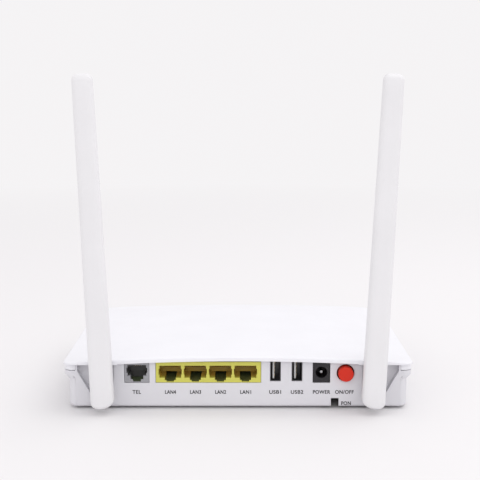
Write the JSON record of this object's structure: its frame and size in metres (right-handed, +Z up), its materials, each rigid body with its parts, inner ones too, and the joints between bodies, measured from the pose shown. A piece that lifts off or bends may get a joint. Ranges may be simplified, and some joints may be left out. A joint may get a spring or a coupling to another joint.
{
  "type": "optical network terminal",
  "caption": "White optical network terminal with hinged upright antennas, a row of sockets under a rear lip, a round red power button and a fibre bay under the housing.",
  "frame": {"origin": "middle of the footprint, on the surface the feet stand on", "axes": "+Z up, -Y out of the sockets, +Y towards the indicator side, +X right seen from the sockets"},
  "size_m": [0.194, 0.1518, 0.1849],
  "materials": {
    "cover_white": "very fine moulded texture, low sheen",
    "shell_white": "very fine moulded texture, low sheen",
    "antenna_white": "satin",
    "foot_rubber": "matt",
    "plated_steel": "zinc plated",
    "label_film": "satin film, blank",
    "board_laminate": "solder mask",
    "sink_aluminium": "extruded, clear anodised",
    "chip_black": "moulded epoxy",
    "pad_grey": "soft silicone sheet",
    "shield_tin": "tin plated sheet",
    "transformer_black": "moulded case",
    "capacitor_can": "drawn can",
    "inductor_grey": "ferrite",
    "lan_yellow": "satin moulding",
    "contact_gold": "gold plated",
    "tel_grey": "satin moulding",
    "usb_steel": "nickel plated",
    "tongue_white": "moulded",
    "socket_black": "moulded",
    "pin_chrome": "nickel plated",
    "optic_black": "moulded",
    "receptacle_green": "moulded",
    "dust_cap_grey": "soft plastic",
    "button_red": "polished face",
    "key_grey": "satin",
    "guide_clear": "clear moulding with frosted ends",
    "lamp_white": "clear over phosphor",
    "nylon_white": "self-coloured",
    "cable_black": "smooth jacket"
  },
  "bodies": {
    "housing": {"top_cover": "cover_white", "bottom_shell": "shell_white", "rubber_feet": "foot_rubber", "case_screws": "plated_steel", "rating_label": "label_film", "main_board": "board_laminate", "board_screws": "plated_steel", "processor_heat_sink": "sink_aluminium", "processor_chip": "chip_black", "thermal_pad": "pad_grey", "memory_chips": "chip_black", "flash_chip": "chip_black", "wifi_shield_can": "shield_tin", "optics_shield_can": "shield_tin", "phone_line_chips": "chip_black", "lan_transformers": "transformer_black", "power_capacitors": "capacitor_can", "power_inductors": "inductor_grey", "crystal_cans": "shield_tin", "antenna_connectors": "contact_gold", "lan_socket_block": "lan_yellow", "lan_contacts": "contact_gold", "tel_socket": "tel_grey", "tel_contacts": "contact_gold", "usb_shell_1": "usb_steel", "usb_tongue_1": "tongue_white", "usb_shell_2": "usb_steel", "usb_tongue_2": "tongue_white", "usb_contacts": "contact_gold", "power_socket": "socket_black", "power_socket_pin": "pin_chrome", "optical_module": "shield_tin", "optical_receptacle": "receptacle_green", "optical_dust_cap": "dust_cap_grey", "power_switch_body": "optic_black", "side_key_switches": "optic_black", "reset_switch": "optic_black", "light_guide": "guide_clear", "indicator_leds": "lamp_white", "left_antenna_lead": "cable_black", "right_antenna_lead": "cable_black"},
    "left_antenna": {"left_antenna_sleeve": "antenna_white", "left_antenna_hub": "antenna_white", "left_antenna_washer": "nylon_white", "left_antenna_clip": "plated_steel", "left_antenna_radiator": "board_laminate", "left_antenna_feed": "cable_black"},
    "right_antenna": {"right_antenna_sleeve": "antenna_white", "right_antenna_hub": "antenna_white", "right_antenna_washer": "nylon_white", "right_antenna_clip": "plated_steel", "right_antenna_radiator": "board_laminate", "right_antenna_feed": "cable_black"},
    "power_button": {"power_button": "button_red"},
    "wifi_button": {"wifi_button": "key_grey"},
    "pairing_button": {"pairing_button": "key_grey"}
  },
  "joints": [
    {"name": "left_antenna_hinge", "type": "hinge", "parent": "housing", "child": "left_antenna", "pos_m": [-0.0745, -0.0713, 0.0136], "axis": [0, -1, 0], "range_deg": [-12, 87]},
    {"name": "right_antenna_hinge", "type": "hinge", "parent": "housing", "child": "right_antenna", "pos_m": [0.0745, -0.0713, 0.0136], "axis": [0, 1, 0], "range_deg": [-12, 87]},
    {"name": "power_button_press", "type": "slide", "parent": "housing", "child": "power_button", "axis": [0, 1, 0], "range_m": [0, 0.002], "stiffness_N_per_m": 300, "springref_m": -0.001},
    {"name": "wifi_button_press", "type": "slide", "parent": "housing", "child": "wifi_button", "axis": [-1, 0, 0], "range_m": [0, 0.0008], "stiffness_N_per_m": 500, "springref_m": -0.0005},
    {"name": "pairing_button_press", "type": "slide", "parent": "housing", "child": "pairing_button", "axis": [-1, 0, 0], "range_m": [0, 0.0008], "stiffness_N_per_m": 500, "springref_m": -0.0005}
  ]
}
